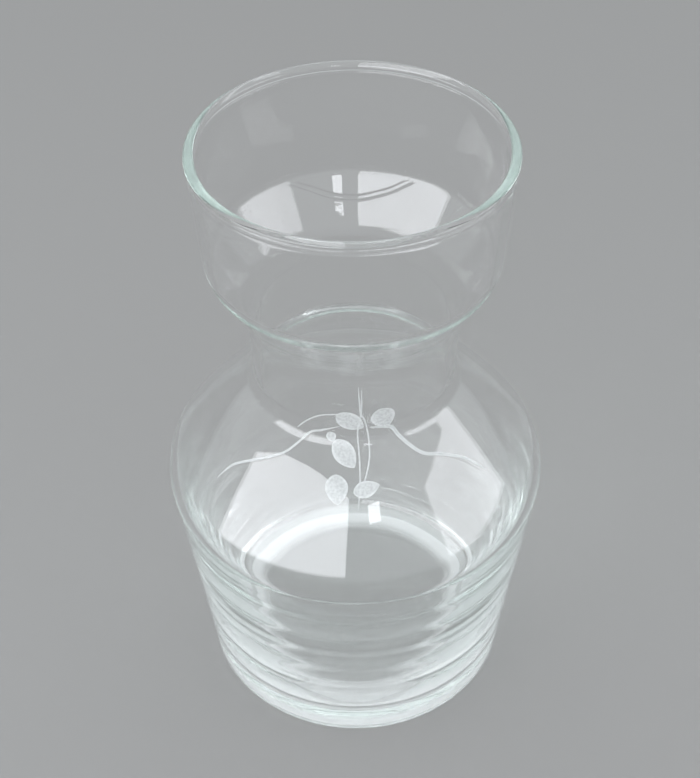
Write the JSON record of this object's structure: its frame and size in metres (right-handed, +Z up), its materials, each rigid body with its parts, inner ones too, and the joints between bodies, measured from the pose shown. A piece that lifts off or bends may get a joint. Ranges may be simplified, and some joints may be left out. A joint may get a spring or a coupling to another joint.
{
  "type": "glass carafe",
  "caption": "Clear glass carafe with a wide cup-shaped mouth, a waisted neck, a rounded shoulder, a tapering body and a thick base.",
  "frame": {"origin": "centre of the resting ring on the underside, at the surface the carafe stands on", "axes": "+Z up the carafe's axis towards its mouth; the etched side faces -Y"},
  "size_m": [0.1218, 0.1218, 0.203],
  "materials": {
    "clear_glass": "polished, faint cool green tint",
    "etched_glass": "frosted etch on the outer surface"
  },
  "bodies": {
    "root": {"glass_body": "clear_glass"}
  },
  "joints": []
}
